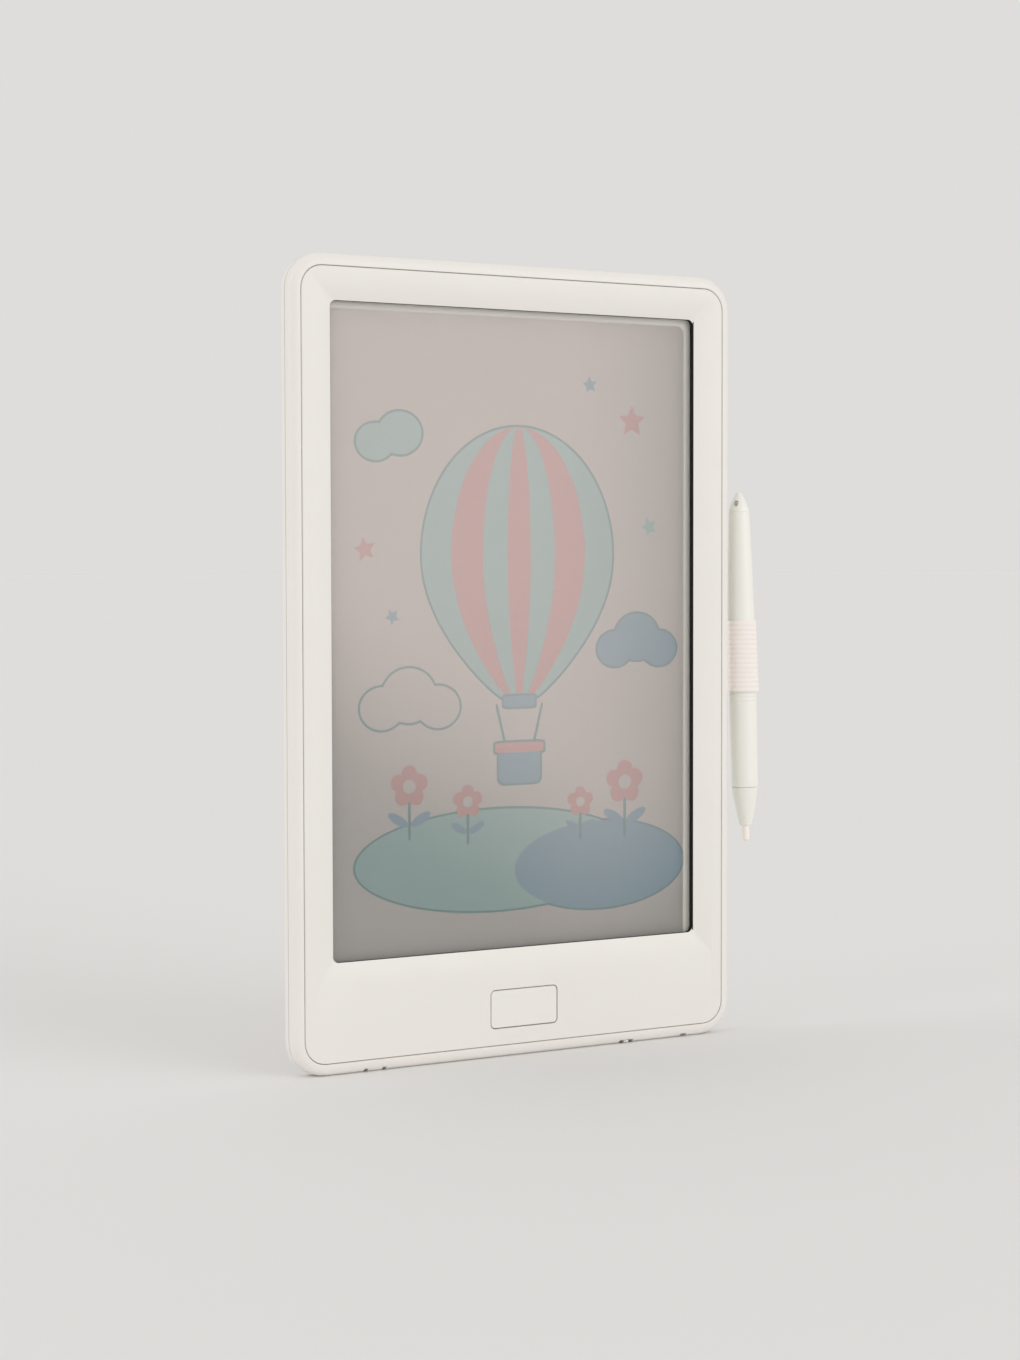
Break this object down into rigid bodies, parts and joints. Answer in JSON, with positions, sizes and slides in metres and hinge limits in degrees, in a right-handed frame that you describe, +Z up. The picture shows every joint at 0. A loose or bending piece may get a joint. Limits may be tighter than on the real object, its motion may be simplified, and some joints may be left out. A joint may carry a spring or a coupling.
{
  "type": "lcd writing tablet",
  "caption": "Upright liquid-crystal writing tablet in a cream case, with a recessed window over a picture card, an erase key and a stylus in a ribbed elastic loop.",
  "frame": {"origin": "on the bottom edge that the tablet stands on, at mid width of the case and mid thickness", "axes": "+Z up along the case's height, +X to the right seen from the front, the screen faces -Y"},
  "size_m": [0.1835, 0.0119, 0.2645],
  "materials": {
    "case_plastic": "satin moulded cream plastic",
    "plate_plastic": "satin moulded cream plastic",
    "button_plastic": "satin moulded cream plastic",
    "stylus_plastic": "satin moulded cream plastic",
    "nib_plastic": "hard smooth writing point",
    "ivory_plastic": "plain moulded plastic",
    "black_plastic": "matt black",
    "clear_plastic": "clear sheet",
    "film": "translucent grey film with a soft sheen",
    "card": "printed card",
    "flex": "amber flexible circuit",
    "board": "green circuit board",
    "ceramic_tan": "plain ceramic",
    "black_foam": "black foam",
    "bright_steel": "plated steel",
    "elastic": "ribbed woven elastic"
  },
  "bodies": {
    "tablet": {"case_frame": "case_plastic", "front_plate": "plate_plastic", "rear_cover": "case_plastic", "screen_gasket": "black_foam", "lcd_film": "film", "clear_sheet": "clear_plastic", "film_tail": "flex", "film_connector": "ivory_plastic", "tact_switch": "black_plastic", "circuit_board": "board", "driver_chip": "black_plastic", "boost_inductor": "black_plastic", "storage_capacitor": "ceramic_tan", "slide_switch": "bright_steel", "contact_negative": "bright_steel", "contact_positive": "bright_steel", "board_screw_1": "bright_steel", "board_screw_2": "bright_steel", "case_screw_1": "bright_steel", "case_screw_2": "bright_steel", "case_screw_3": "bright_steel", "case_screw_4": "bright_steel", "case_screw_5": "bright_steel", "case_screw_6": "bright_steel", "case_screw_7": "bright_steel", "case_screw_8": "bright_steel", "elastic_loop": "elastic", "loop_anchor": "black_plastic"},
    "erase_key": {"erase_button": "button_plastic"},
    "lock": {"lock_slider": "button_plastic", "switch_lever": "black_plastic"},
    "battery_drawer": {"battery_tray": "case_plastic", "coin_cell": "bright_steel"},
    "card": {"picture_card": "card"},
    "stylus": {"stylus_barrel": "stylus_plastic", "stylus_cone": "stylus_plastic", "stylus_nib": "nib_plastic"}
  },
  "joints": [
    {"name": "erase_press", "type": "slide", "parent": "tablet", "child": "erase_key", "axis": [0, 1, 0], "range_m": [0, 0.0004], "stiffness_N_per_m": 2000, "springref_m": -0.0002},
    {"name": "lock_slide", "type": "slide", "parent": "tablet", "child": "lock", "axis": [1, 0, 0], "range_m": [-0.0015, 0.0015]},
    {"name": "tray_pull", "type": "slide", "parent": "tablet", "child": "battery_drawer", "axis": [0, 0, -1], "range_m": [0, 0.0233]},
    {"name": "card_pull", "type": "slide", "parent": "tablet", "child": "card", "axis": [0, 0, 1], "range_m": [0, 0.2288]},
    {"name": "stylus_pull", "type": "slide", "parent": "tablet", "child": "stylus", "axis": [-0.0279, 0, 0.9996], "range_m": [0, 0.079]}
  ]
}
